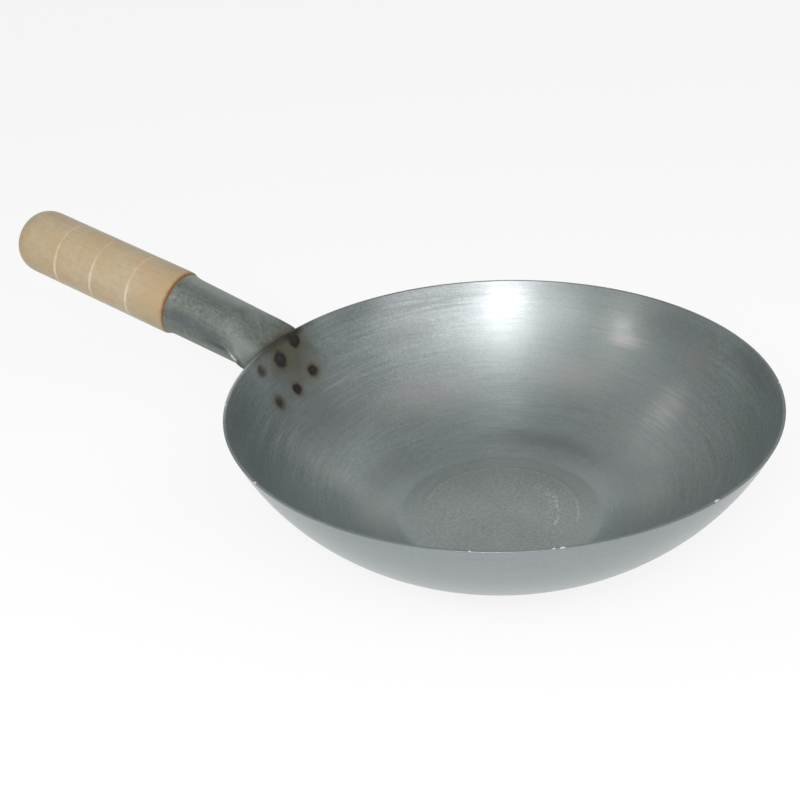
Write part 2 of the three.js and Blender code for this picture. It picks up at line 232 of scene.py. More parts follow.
def shader_node(tree, kind, sockets=None, **settings):
    """A shader node. Settings are its own properties; a socket takes a value or another node's output."""
    made = tree.nodes.new("ShaderNode" + kind)
    for name, value in settings.items():
        setattr(made, name, value)
    for name, value in (sockets or {}).items():
        if isinstance(value, bpy.types.NodeSocket):
            tree.links.new(value, made.inputs[name])
        else:
            made.inputs[name].default_value = value
    return made


def sums(tree, operation, *values):
    """Arithmetic on numbers or sockets."""
    return shader_node(tree, "Math", dict(enumerate(values)), operation=operation).outputs[0]


def weighed(tree, *parts):
    """The sum of some values, each times its weight."""
    total = None
    for value, weight in parts:
        part = sums(tree, "MULTIPLY", value, weight)
        total = part if total is None else sums(tree, "ADD", total, part)
    return total


def place_sums(tree, operation, *places):
    """Arithmetic on places. What comes out is Vector or, for a length, distance or product, Value."""
    return shader_node(tree, "VectorMath", dict(enumerate(places)), operation=operation).outputs


def blend(tree, amount, first, second, way="MIX"):
    """A mix of two colours, or the first multiplied by the second to that amount."""
    sockets = {0: amount, 6: first, 7: second}
    return shader_node(tree, "Mix", sockets, data_type="RGBA", blend_type=way).outputs[2]


def tinted(tree, colour, shade, amount, *shares):
    """A colour with a shade over it, by an amount times some shares."""
    for share in shares:
        amount = sums(tree, "MULTIPLY", amount, share)
    return blend(tree, amount, colour, shade)


def between(tree, value, low, high, low_result=0.0, high_result=1.0):
    """A smooth change from one result to another as a value goes from low to high."""
    sockets = {"Value": value, "From Min": low, "From Max": high, "To Min": low_result, "To Max": high_result}
    return shader_node(tree, "MapRange", sockets, interpolation_type="SMOOTHSTEP").outputs[0]


def noise(tree, place, scale, detail=3.0, roughness=0.55):
    """Noise at a place, from 0 to 1."""
    sockets = {"Vector": place, "Scale": scale, "Detail": detail, "Roughness": roughness}
    return shader_node(tree, "TexNoise", sockets).outputs["Fac"]


def effect(name, inputs, outputs):
    """A new effect, as a group of shader nodes with named inputs and outputs."""
    tree = bpy.data.node_groups.new(name, "ShaderNodeTree")
    for label, kind in inputs.items():
        tree.interface.new_socket(label, in_out="INPUT", socket_type="NodeSocket" + kind)
    for label, kind in outputs.items():
        tree.interface.new_socket(label, in_out="OUTPUT", socket_type="NodeSocket" + kind)
    entry = tree.nodes.new("NodeGroupInput").outputs
    leave = tree.nodes.new("NodeGroupOutput").inputs
    return tree, entry, leave


def give(tree, leave, label, value):
    """Sends a value out of an effect."""
    tree.links.new(value, leave[label])


def place_effect(tree, group, sockets):
    """An effect placed in a material, with its own values."""
    return shader_node(tree, "Group", sockets, node_tree=group).outputs


def dress(tree, shader, colour, roughness, relief, depth, strength=0.5):
    """Gives a shader its colour, its roughness and a fine relief of some depth."""
    bump = shader_node(tree, "Bump", {"Strength": strength, "Distance": depth, "Height": relief})
    for label, value in (("Base Color", colour), ("Roughness", roughness), ("Normal", bump.outputs[0])):
        tree.links.new(value, shader.inputs[label])


def new_finish(name, **fixed):
    """A material, its node tree, its shader and the place on the piece that it shades."""
    finish = bpy.data.materials.new(name)
    finish.use_nodes = True
    tree = finish.node_tree
    shader = tree.nodes["Principled BSDF"]
    for label, value in fixed.items():
        shader.inputs[label.replace("_", " ").title()].default_value = value
    return finish, tree, shader, shader_node(tree, "TexCoord").outputs["Object"]


# Tool rings: what turning or spinning leaves on a surface round +Z, as streaks that run round the axis. Each
# kind has its share of the ring count and a number for how often its streaks break off.
level = (1, 1, 0)  # leaves out the height of a place
tool_rings, entry, leave = effect(
    "Tool rings",
    {"Place": "Vector", "Per metre": "Float"},
    {"Fine": "Float", "Broad": "Float", "Reach": "Float"},
)
flat = place_sums(tool_rings, "MULTIPLY", entry["Place"], level)["Vector"]
reach = place_sums(tool_rings, "LENGTH", flat)["Value"]
direction = place_sums(tool_rings, "NORMALIZE", flat)["Vector"]
turning = shader_node(tool_rings, "SeparateXYZ", {0: direction}).outputs
height = shader_node(tool_rings, "SeparateXYZ", {0: entry["Place"]}).outputs[2]
path = sums(tool_rings, "MULTIPLY", sums(tool_rings, "ADD", reach, height), entry["Per metre"])
for label, share, gaps in (("Fine", 1.0, 5.0), ("Broad", 0.22, 3.5)):
    sockets = {
        0: sums(tool_rings, "MULTIPLY", path, share),
        1: sums(tool_rings, "MULTIPLY", turning[0], gaps),
        2: sums(tool_rings, "MULTIPLY", turning[1], gaps),
    }
    along = shader_node(tool_rings, "CombineXYZ", sockets).outputs[0]
    give(tool_rings, leave, label, noise(tool_rings, along, 1.0, 4.0, 0.6))
give(tool_rings, leave, "Reach", reach)

# Blotches: uneven tone, broad and small, as handling and oil leave it.
blotches, entry, leave = effect(
    "Blotches", {"Place": "Vector", "Per metre": "Float"}, {"Broad": "Float", "Small": "Float"})
broad = noise(blotches, entry["Place"], entry["Per metre"], 3.0, 0.55)
give(blotches, leave, "Broad", between(blotches, broad, 0.3, 0.7))
small_scale = sums(blotches, "MULTIPLY", entry["Per metre"], 6.0)
give(blotches, leave, "Small", noise(blotches, entry["Place"], small_scale, 4.0, 0.6))

# Weld burn: a dark spot, its paler middle, the brown halo round it and a wide faint haze. Distances are in
# radii of the spot, and its edge is ragged.
weld_burn, entry, leave = effect(
    "Weld burn",
    {"Place": "Vector", "Centre": "Vector", "Radius": "Float", "Softness": "Float"},
    {"Ring": "Float", "Middle": "Float", "Halo": "Float", "Haze": "Float"},
)
ragged = noise(weld_burn, entry["Place"], 260.0, 3.0, 0.55)
away = place_sums(weld_burn, "DISTANCE", entry["Place"], entry["Centre"])["Value"]
away = sums(weld_burn, "DIVIDE", away, entry["Radius"])
ragged = sums(weld_burn, "MULTIPLY", sums(weld_burn, "SUBTRACT", ragged, 0.5), 0.6)
away = sums(weld_burn, "ADD", away, ragged)
edge_start = between(weld_burn, entry["Softness"], 0.0, 1.0, 0.65, -0.1)
edge_end = between(weld_burn, entry["Softness"], 0.0, 1.0, 1.25, 1.7)
give(weld_burn, leave, "Ring", between(weld_burn, away, edge_start, edge_end, 1.0, 0.0))
give(weld_burn, leave, "Middle", between(weld_burn, away, 0.10, 0.80, 1.0, 0.0))
give(weld_burn, leave, "Halo", between(weld_burn, away, 0.9, 1.9, 1.0, 0.0))
give(weld_burn, leave, "Haze", between(weld_burn, away, 0.9, 3.2, 1.0, 0.0))

# Patch: a soft-edged patch on a round piece, for marks that heat, wiping and use leave and for painted light
# and shade. Along is its half length round the piece's axis and Across its half length the other way.
patch, entry, leave = effect(
    "Patch", {"Place": "Vector", "Middle": "Vector", "Along": "Float", "Across": "Float"}, {"Mask": "Float"})
reaches = []
for label in ("Place", "Middle"):
    flat = place_sums(patch, "MULTIPLY", entry[label], level)["Vector"]
    reaches.append(place_sums(patch, "LENGTH", flat)["Value"])
away = place_sums(patch, "SUBTRACT", entry["Place"], entry["Middle"])["Vector"]
climb = shader_node(patch, "SeparateXYZ", {0: away}).outputs[2]
total = place_sums(patch, "DOT_PRODUCT", away, away)["Value"]
widen = sums(patch, "SUBTRACT", *reaches)
across = sums(patch, "ADD", sums(patch, "POWER", sums(patch, "ABSOLUTE", widen), 2.0),
              sums(patch, "POWER", sums(patch, "ABSOLUTE", climb), 2.0))
along = sums(patch, "MAXIMUM", sums(patch, "SUBTRACT", total, across), 0.0)
spread = sums(patch, "ADD", sums(patch, "DIVIDE", along, sums(patch, "POWER", entry["Along"], 2.0)),
              sums(patch, "DIVIDE", across, sums(patch, "POWER", entry["Across"], 2.0)))
ragged = sums(patch, "SUBTRACT", noise(patch, entry["Place"], 150.0, 3.0, 0.55), 0.5)
spread = sums(patch, "ADD", sums(patch, "SQRT", spread), sums(patch, "MULTIPLY", ragged, 0.35))
give(patch, leave, "Mask", between(patch, spread, 0.0, 1.0, 1.0, 0.0))

inside_dark = (0.231, 0.277, 0.264, 1)
inside_light = (0.369, 0.440, 0.420, 1)
outside_dark = (0.230, 0.270, 0.264, 1)
outside_light = (0.312, 0.364, 0.356, 1)
base_dark = (0.266, 0.303, 0.283, 1)
base_light = (0.348, 0.398, 0.373, 1)
burnt_black = (0.030, 0.026, 0.024, 1)
burnt_middle = (0.085, 0.090, 0.080, 1)
burnt_brown = (0.16, 0.126, 0.074, 1)
burnt_haze = (0.215, 0.205, 0.165, 1)
heat_dulled = (0.165, 0.187, 0.185, 1)
olive_haze = (0.100, 0.100, 0.058, 1)
weld_haze = (0.135, 0.140, 0.108, 1)
rim_scorch = (0.052, 0.046, 0.030, 1)
# Used both for stains and for painted shade.
stain_and_shade = (0.20, 0.227, 0.222, 1)
# Used both for wiped places and for painted highlights and reflections.
wiped_and_highlight = (0.46, 0.475, 0.455, 1)
handled = (0.320, 0.310, 0.285, 1)
scuffed = (0.60, 0.63, 0.60, 1)
# Bare metal at burrs and nicks, also used for painted glints and highlights on the rim.
bare_nick_glint = (0.88, 0.89, 0.87, 1)
rim_darker = (0.16, 0.175, 0.175, 1)
ring_dark = (0.0, 0.0, 0.0, 1)
ring_light = (2.0, 2.0, 2.0, 1)
uneven_tint = (1.04, 0.985, 1.05, 1)

# Marks on the inside of the bowl: turn in degrees, reach, half length, half width, colour and how much of it.
# Patches and broken streaks make the inside darker or lighter in places, with heat marks by the welds; a
# ladle scuffs the base, and the rim is scorched over the welds. Some marks are painted light: pale patches
# and streaks near turns 54 and 78 are painted reflections of lamps, a dark patch at turn 140 is painted shade
# over a lamp's reflection, a thin dark arc at turn 90 is painted shade along the foot of the wall, and pale
# lines along the rim at turns 110 and -160 are painted highlights.
inside_patches = (
    (30, 0.105, 0.120, 0.080, handled, 0.25),
    (175, 0.122, 0.075, 0.060, stain_and_shade, 0.85),
    # Painted shade over a lamp's reflection.
    (140, 0.1385, 0.032, 0.015, stain_and_shade, 0.6),
    (151, 0.1490, 0.040, 0.010, stain_and_shade, 0.5),
    (176, 0.1415, 0.034, 0.023, weld_haze, 0.75),
    (179, 0.0760, 0.045, 0.026, stain_and_shade, 0.8),
    (-155, 0.132, 0.070, 0.040, stain_and_shade, 0.4),
    (60, 0.125, 0.080, 0.060, stain_and_shade, 0.3),
    (46, 0.0790, 0.050, 0.026, stain_and_shade, 0.5),
    (66, 0.146, 0.050, 0.018, stain_and_shade, 0.45),
    # Painted shade: a thin dark arc along the foot of the wall.
    (90, 0.0750, 0.065, 0.011, stain_and_shade, 0.6),
    (142, 0.1100, 0.055, 0.026, wiped_and_highlight, 0.45),
    (91, 0.1170, 0.038, 0.024, wiped_and_highlight, 0.45),
    (-158, 0.1470, 0.060, 0.015, heat_dulled, 0.4),
    # The next two are painted reflections of lamps.
    (77.6, 0.1374, 0.017, 0.0075, wiped_and_highlight, 0.85),
    (54.6, 0.1190, 0.019, 0.026, wiped_and_highlight, 0.50),
    (53.0, 0.1400, 0.020, 0.020, handled, 0.5),
    (176, 0.1170, 0.032, 0.022, heat_dulled, 0.60),
    (-162, 0.1040, 0.022, 0.046, wiped_and_highlight, 0.40),
    (90, 0.0540, 0.085, 0.013, wiped_and_highlight, 0.25),
    (-146, 0.0740, 0.032, 0.024, wiped_and_highlight, 0.55),
    (20, 0.0880, 0.030, 0.022, wiped_and_highlight, 0.45),
    (38, 0.1480, 0.060, 0.015, heat_dulled, 0.7),
    (176, 0.1490, 0.040, 0.023, olive_haze, 1.0),
)
bright_streaks = (
    (-161, 0.1310, 0.034, 0.018, wiped_and_highlight, 0.45),
    (166, 0.1280, 0.028, 0.020, wiped_and_highlight, 0.22),
    # The next two are painted reflections of lamps.
    (54.4, 0.1160, 0.018, 0.028, wiped_and_highlight, 0.55),
    (79.0, 0.1378, 0.030, 0.009, wiped_and_highlight, 0.75),
)
dark_streaks = (
    (125, 0.1465, 0.080, 0.0100, stain_and_shade, 0.6),
)
ladle_marks = (
    (42, 0.0333, 0.018, 0.0016, scuffed, 0.7),
    (2, 0.0345, 0.008, 0.0016, scuffed, 0.6),
    (19, 0.0452, 0.018, 0.0015, scuffed, 0.5),
)
scorch_patches = (
    (178, 0.1518, 0.040, 0.007, rim_scorch, 1.0),
    (174.2, 0.1508, 0.0075, 0.0050, burnt_black, 1.0),
    (171.0, 0.1508, 0.0075, 0.0055, burnt_black, 1.0),
    # The next two are painted highlights along the rim.
    (110, 0.1522, 0.090, 0.0022, wiped_and_highlight, 0.9),
    (-160, 0.1522, 0.060, 0.0022, bare_nick_glint, 0.55),
)

spun_steel, tree, shader, place = new_finish(
    "spun_steel",
    metallic=1.0,
    anisotropic=0.6,
    anisotropic_rotation=0.25,
    coat_weight=0.45,
    coat_roughness=0.2,
)
ring_line = shader_node(tree, "Tangent", direction_type="RADIAL", axis="Z")
tree.links.new(ring_line.outputs[0], shader.inputs["Tangent"])
rings = place_effect(tree, tool_rings, {"Place": place, "Per metre": 1900.0})
stains = place_effect(tree, blotches, {"Place": place, "Per metre": 14.0})
grit = place_effect(tree, blotches, {"Place": place, "Per metre": 90.0})
normal = shader_node(tree, "NewGeometry").outputs["Normal"]
upward = shader_node(tree, "SeparateXYZ", {0: normal}).outputs[2]
is_inside = between(tree, upward, -0.05, 0.05)
grain = noise(tree, place, 1000.0, 2.0, 0.7)
tone = weighed(tree, (rings["Broad"], 0.17), (rings["Fine"], 0.35), (grit["Small"], 0.20), (grain, 0.28))
tone = between(tree, tone, 0.23, 0.77)
inside_colour = blend(tree, tone, inside_dark, inside_light)
outside_colour = blend(tree, tone, outside_dark, outside_light)
colour = blend(tree, is_inside, outside_colour, inside_colour)

# The base has hardly any rings. Its tone gives way to the wall's between two radii.
base_tone_full = 0.040
base_tone_ends = 0.064
on_base = between(tree, rings["Reach"], base_tone_full, base_tone_ends, 1.0, 0.0)
on_base = sums(tree, "MULTIPLY", on_base, is_inside)
base_tone = weighed(tree, (grit["Small"], 0.6), (grain, 0.4))
base_tone = between(tree, base_tone, 0.32, 0.68)
base_colour = blend(tree, base_tone, base_dark, base_light)
colour = blend(tree, on_base, colour, base_colour)

# The trimmed edge is darker.
edge_darker_starts = bowl_depth - 0.0006
edge_darker_full = bowl_depth - 0.0002
sideways, _, height = shader_node(tree, "SeparateXYZ", {0: place}).outputs
on_edge = between(tree, height, edge_darker_starts, edge_darker_full)
colour = tinted(tree, colour, rim_darker, on_edge, 0.55)


def with_patches(under, patches, breaks=1.0):
    """The bowl's colour with patches over it. Where breaks is below 1, they are faint or gone."""
    for turn, reach, half_length, half_width, shade, amount in patches:
        angle = math.radians(turn)
        climb = np.interp(reach, inner_side[:, 0], inner_side[:, 1])
        middle = (reach * math.cos(angle), reach * math.sin(angle), climb)
        sockets = {"Place": place, "Middle": middle, "Along": half_length, "Across": half_width}
        mask = place_effect(tree, patch, sockets)["Mask"]
        under = tinted(tree, under, shade, mask, amount, breaks, is_inside)
    return under


colour = with_patches(colour, inside_patches)
colour = with_patches(colour, bright_streaks, between(tree, rings["Broad"], 0.46, 0.60))
colour = with_patches(colour, dark_streaks, between(tree, rings["Broad"], 0.42, 0.54, 1.0, 0.0))
colour = with_patches(colour, ladle_marks, between(tree, grit["Small"], 0.40, 0.56))

# The rings show more on the handle's side and opposite it, and the tint is uneven.
side_starts = 0.05
side_full = 0.11
on_side = between(tree, sums(tree, "ABSOLUTE", sideways), side_starts, side_full, 0.05, 0.70)
on_side = sums(tree, "MULTIPLY", on_side, is_inside)
worn_dark = sums(tree, "MULTIPLY", between(tree, tone, 0.0, 0.5, 0.5, 0.0), on_side)
colour = blend(tree, worn_dark, colour, ring_dark, "MULTIPLY")
worn_light = sums(tree, "MULTIPLY", between(tree, tone, 0.5, 1.0, 0.0, 0.5), on_side)
colour = blend(tree, worn_light, colour, ring_light, "MULTIPLY")
colour = blend(tree, stains["Small"], colour, uneven_tint, "MULTIPLY")

# The burrs on the rim are bare metal, painted near white, which also paints glints on them.
burr_starts = bowl_depth + 0.00004
burr_full = bowl_depth + 0.00012
on_burr = between(tree, height, burr_starts, burr_full)
colour = blend(tree, on_burr, colour, bare_nick_glint)

# Light specks where a ladle has scraped the base.
scraped_turn = math.radians(45)
scraped_reach = 0.032
sockets = {
    "Place": place,
    "Middle": (scraped_reach * math.cos(scraped_turn), scraped_reach * math.sin(scraped_turn), bowl_sheet),
    "Along": 0.036,
    "Across": 0.007,
}
scrapes = place_effect(tree, patch, sockets)["Mask"]
colour = tinted(tree, colour, scuffed, scrapes, between(tree, grit["Small"], 0.48, 0.58), 0.25)

# The weld marks. The burnt steel is also rougher.
burnt = None
for node, (radius, drop, black, bare, brown, softness) in weld_marks.items():
    centre, axis = weld_axis(node)
    middle = centre - axis * bowl_sheet - np.array([0, 0, drop])
    sockets = {"Place": place, "Centre": tuple(middle), "Radius": radius, "Softness": softness}
    burn = place_effect(tree, weld_burn, sockets)
    colour = tinted(tree, colour, burnt_haze, burn["Haze"], 0.5 * brown)
    colour = tinted(tree, colour, burnt_brown, burn["Halo"], brown)
    colour = tinted(tree, colour, burnt_black, burn["Ring"], black)
    colour = tinted(tree, colour, burnt_middle, burn["Middle"], bare)
    ring = sums(tree, "MULTIPLY", burn["Ring"], black)
    burnt = ring if burnt is None else sums(tree, "MAXIMUM", burnt, ring)

colour = with_patches(colour, scorch_patches)

roughness = between(tree, rings["Fine"], 0.3, 0.7, 0.36, 0.46)
roughness = sums(tree, "ADD", roughness, sums(tree, "MULTIPLY", stains["Broad"], 0.04))
roughness = sums(tree, "ADD", roughness, sums(tree, "MULTIPLY", burnt, 0.3))

ripple_share = between(tree, rings["Reach"], base_radius, rim_radius, 0.15, 1.0)
relief = weighed(tree, (rings["Fine"], 0.5), (rings["Broad"], 0.7))
relief = weighed(tree, (relief, ripple_share), (grit["Small"], 0.4))
dress(tree, shader, colour, roughness, relief, depth=0.00006)


def add_piece(name, mesh, finish, slot, *nodes):
    """A piece of the object that stands for some of the frame's nodes, which it hides."""
    piece = bpy.data.objects.new(name, mesh)
    bpy.context.scene.collection.objects.link(piece)
    mesh.materials.append(finish)
    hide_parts(*nodes)
    return piece


bowl = add_piece("spun_bowl", turned_mesh("spun_bowl", bowl_grid), spun_steel, "spun_steel", "wok_bowl")
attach(bowl, "root")


# Handle socket. One blank of thinner sheet steel, rolled to a tube with a butt seam underneath. Two slits
# part the bowl end: the upper half opens to a wide arch and bends down as a flange against the outside of the
# bowl, and the lower half stays round and butts against the flange.

socket_sheet = 0.0012
socket_tilt = math.radians(16.5)
socket_roll = math.radians(2.5)  # its far side sits higher
socket_drop = 0.0018  # from the rim down to the socket's axis, where the axis crosses the rim
socket_length = 0.067  # along the axis, from the rim to the mouth
round_length = 0.041  # from the mouth to the slits
mouth_radius = 0.0191
neck_radius = 0.018
mouth_lip = 0.0006
mouth_lip_length = 0.005
seam_gap = 0.0012
crown_height = 0.002
neck_corner = 0.003
arch_squareness = 3.5
flange_width = 0.056
flange_depth = 0.0355
flange_corner = 0.010
flange_gap = 0.0003  # between flange and bowl
bend = 0.0018  # from the flange out to where the arch starts to turn down
cut_edge = 0.00018  # rounding of the sheet's edges

out_along = Vector((-math.cos(socket_tilt), 0, math.sin(socket_tilt)))
neck_height = bowl_depth - socket_drop
mouth_centre = Vector((-rim_radius, 0, neck_height)) + socket_length * out_along
handle_frame = (
    Matrix.Translation(mouth_centre)
    @ Matrix.Rotation(socket_tilt - math.pi / 2, 4, "Y")
    @ Matrix.Rotation(-socket_roll, 4, "Z")
)
into_handle = np.array(handle_frame.inverted())
from_handle = np.array(handle_frame)


def smooth(value, low, high):
    """0 below low, 1 above high, and a smooth change between them."""
    share = np.clip((value - low) / (high - low), 0, 1)
    return share * share * (3 - 2 * share)


def moved(points, matrix):
    """Points carried by a 4 x 4 matrix."""
    return points @ matrix[:3, :3].T + matrix[:3, 3]


def tube_radius(along):
    """Radius of the round tube in the middle of the sheet, some way along from the mouth."""
    taper = mouth_radius + (neck_radius - mouth_radius) * along / socket_length
    return taper + mouth_lip * (1 - smooth(along, 0, mouth_lip_length)) - socket_sheet / 2


def tube_point(along, turn):
    """Point of the round tube in the handle's frame: x is up, y is sideways, turn is from the top."""
    radius = tube_radius(along)
    return np.array([radius * math.cos(turn), radius * math.sin(turn), -along])


def arch_point(along, share):
    """Point of the opened upper half, from one slit at share -1 to the other at share 1."""
    flat = smooth(along, round_length, socket_length)
    radius = tube_radius(along)
    half_width = radius + (flange_width / 2 - socket_sheet / 2 - radius) * flat
    rise = radius + (neck_corner + crown_height - socket_sheet / 2 - radius) * flat
    sink = (neck_corner - socket_drop) * flat
    squareness = 2 + (arch_squareness - 2) * flat
    round_turn = abs(share) * math.pi / 2
    wide_turn = math.asin(abs(share) ** (squareness / 2))
    turn = round_turn + (wide_turn - round_turn) * flat
    up = rise * max(math.cos(turn), 0) ** (2 / squareness) - sink
    return np.array([up, math.copysign(half_width * math.sin(turn) ** (2 / squareness), share), -along])


def clearance(point, offset):
    """How far a point in the handle's frame stands out from the bowl's outer face, less an offset."""
    x, y, z = moved(point, from_handle)
    return math.hypot(x, y) - wall_reach(min(z, bowl_depth), offset)


halvings = 40


def along_to(point_at, offset, start):
    """How far along a line of the sheet runs before it stands off the bowl by the offset only."""
    near, far = start, socket_length + 2 * neck_radius
    for _ in range(halvings):
        middle = (near + far) / 2
        if clearance(point_at(middle), offset) > 0:
            near = middle
        else:
            far = middle
    return near


side_columns = 12  # in a quarter of the tube
arch_rows = 13
flange_rows = 13
lower_rows = 10
upper_shares = np.linspace(-1, 1, 2 * side_columns + 1)
seam_turn = math.pi - seam_gap / 2 / neck_radius
lower_turns = np.linspace(math.pi / 2, seam_turn, side_columns + 1)
tube_rows = np.array([0, 0.0006, 0.0025, 0.005, 0.009, 0.014, 0.021, 0.028, 0.035, round_length])
all_turns = np.concatenate([-lower_turns[:0:-1], upper_shares * math.pi / 2, lower_turns[1:]])
flange_middle = flange_gap + socket_sheet / 2


def flange_point(sideways, height):
    """Point in the middle of the flange's sheet, in the handle's frame. The flange rolls with the socket."""
    climb = height - neck_height
    y = sideways * math.cos(socket_roll) - climb * math.sin(socket_roll)
    z = neck_height + sideways * math.sin(socket_roll) + climb * math.cos(socket_roll)
    return moved(np.array([-math.sqrt(wall_reach(z, flange_middle) ** 2 - y**2), y, z]), into_handle)


def flange_bottom(sideways):
    """Height of the flange's lower edge, which has round corners."""
    over = max(abs(sideways) - (flange_width / 2 - flange_corner), 0)
    return bowl_depth - flange_depth + flange_corner - math.sqrt(flange_corner**2 - over**2)


def upper_line(share):
    """One line of the upper half's sheet: along the arch, round the bend and down the flange."""
    end = along_to(lambda along: arch_point(along, share), flange_middle + bend, round_length)
    arch = [arch_point(along, share) for along in np.linspace(round_length, end, arch_rows)]
    up, sideways, _ = arch[-1]
    top = neck_height + up * math.cos(socket_tilt) + (socket_length - end) * math.sin(socket_tilt)
    flange_top = min(top, bowl_depth + flange_middle) - bend
    heights = np.linspace(flange_top, flange_bottom(sideways), flange_rows)
    return arch + [flange_point(sideways, height) for height in heights]


def lower_line(turn):
    """One line of the lower half's sheet, from the slits to the flange."""
    end = along_to(lambda along: tube_point(along, turn), flange_gap + socket_sheet, round_length)
    return [tube_point(along, turn) for along in np.linspace(round_length, end, lower_rows)]


def sheet_patch(form, lines):
    """Adds a stretch of sheet to a mesh in the making, from lines of points side by side."""
    grid = [[form.verts.new(point) for point in line] for line in lines]
    for left, right in zip(grid, grid[1:]):
        for step in range(len(left) - 1):
            form.faces.new((left[step], left[step + 1], right[step + 1], right[step]))


form = bmesh.new()
sheet_patch(form, [[tube_point(along, turn) for along in tube_rows] for turn in all_turns])
sheet_patch(form, [upper_line(share) for share in upper_shares])
sheet_patch(form, [lower_line(turn) for turn in lower_turns])
sheet_patch(form, [lower_line(-turn) for turn in lower_turns[::-1]])
bmesh.ops.remove_doubles(form, verts=form.verts, dist=1e-6)
socket_form = bpy.data.meshes.new("rolled_socket_form")
form.to_mesh(socket_form)
form.free()

shaping = bpy.data.objects.new("rolled_socket_form", socket_form)
bpy.context.scene.collection.objects.link(shaping)
finer = shaping.modifiers.new("finer", "SUBSURF")
finer.levels = finer.render_levels = 2
thick = shaping.modifiers.new("thick", "SOLIDIFY")
thick.thickness = socket_sheet
thick.offset = 0
thick.use_even_offset = True
thick.material_offset_rim = 1
edges = shaping.modifiers.new("edges", "BEVEL")
edges.width = cut_edge
edges.segments = 2
edges.limit_method = "ANGLE"
edges.angle_limit = math.radians(50)
shaped = shaping.evaluated_get(bpy.context.evaluated_depsgraph_get())
socket_mesh = bpy.data.meshes.new_from_object(shaped)
socket_mesh.name = "rolled_socket"
socket_mesh.shade_smooth()
bpy.data.objects.remove(shaping)

# The electrodes leave their dents in the flange's outer face too.
points = np.empty(len(socket_mesh.vertices) * 3)
socket_mesh.vertices.foreach_get("co", points)
points = moved(points.reshape(-1, 3), from_handle)
for node in weld_marks:
    centre, axis = weld_axis(node)
    depth = dent_depth(points, centre, axis)
    near_flange = np.linalg.norm(points - centre, axis=1) < 3 * electrode_radius
    outer_skin = (points - centre) @ axis > flange_middle
    points -= np.where(near_flange & outer_skin, depth, 0)[:, None] * axis
socket_mesh.vertices.foreach_set("co", points.ravel())


def band(tree, value, start, full, fade, end):
    """A mask that rises from start to full and falls from fade to end."""
    rising = between(tree, value, start, full)
    falling = between(tree, value, fade, end, 1.0, 0.0)
    return sums(tree, "MULTIPLY", rising, falling)


def in_frame(tree, place, matrix):
    """A place as measured in another frame."""
    sockets = {"Vector": place, "Location": matrix.translation, "Rotation": matrix.to_euler()}
    return shader_node(tree, "Mapping", sockets, vector_type="TEXTURE").outputs[0]


# Streaks: lines that run along +Z, as in rolled sheet or in the fibres of wood.
streaks, entry, leave = effect(
    "Streaks", {"Place": "Vector", "Across": "Float", "Along": "Float"}, {"Fine": "Float", "Broad": "Float"})
xyz = shader_node(streaks, "SeparateXYZ", {0: entry["Place"]}).outputs
for label, share in (("Fine", 1.0), ("Broad", 0.2)):
    sockets = {
        0: sums(streaks, "MULTIPLY", xyz[0], entry["Across"]),
        1: sums(streaks, "MULTIPLY", xyz[1], entry["Across"]),
        2: sums(streaks, "MULTIPLY", xyz[2], entry["Along"]),
    }
    stretched = shader_node(streaks, "CombineXYZ", sockets).outputs[0]
    give(streaks, leave, label, noise(streaks, stretched, share, 4.0, 0.6))

sheet_dark = (0.086, 0.102, 0.088, 1)
sheet_light = (0.212, 0.240, 0.208, 1)
sheet_green = (0.125, 0.160, 0.135, 1)
sheet_blue = (0.086, 0.106, 0.107, 1)
sheet_pale = (0.260, 0.315, 0.275, 1)
sheet_glancing_sheen = (0.262, 0.305, 0.275, 1)
slit_glint = (0.60, 0.65, 0.60, 1)
sheet_cut = (0.52, 0.54, 0.50, 1)
scorched = (0.13, 0.11, 0.075, 1)
slit_shade = (0.045, 0.050, 0.045, 1)

mill_steel, tree, shader, place = new_finish("mill_steel", metallic=0.45)
place = in_frame(tree, place, handle_frame)
lines = place_effect(tree, streaks, {"Place": place, "Across": 700.0, "Along": 60.0})
stains = place_effect(tree, blotches, {"Place": place, "Per metre": 55.0})
grain = noise(tree, place, 700.0, 2.0, 0.7)
tone = weighed(tree, (lines["Fine"], 0.2), (lines["Broad"], 0.3), (stains["Small"], 0.3), (grain, 0.3))
colour = blend(tree, between(tree, tone, 0.44, 0.67), sheet_dark, sheet_light)
colour = tinted(tree, colour, sheet_blue, stains["Broad"], 0.35)
mottle = place_effect(tree, blotches, {"Place": place, "Per metre": 150.0})
colour = tinted(tree, colour, sheet_green, mottle["Broad"], 0.4)

# The welding scorched the arch at the bowl, more on its far side. Along is measured from the mouth.
scorch_starts = 0.066
scorch_full = 0.080
up, sideways, outward = shader_node(tree, "SeparateXYZ", {0: place}).outputs
along = sums(tree, "MULTIPLY", outward, -1.0)
scorch_edge = sums(tree, "ADD", along, sums(tree, "MULTIPLY", stains["Small"], 0.014))
far_side = between(tree, sideways, -0.016, 0.006, 0.15, 0.8)
scorch = between(tree, scorch_edge, scorch_starts, scorch_full)
colour = tinted(tree, colour, scorched, scorch, far_side)

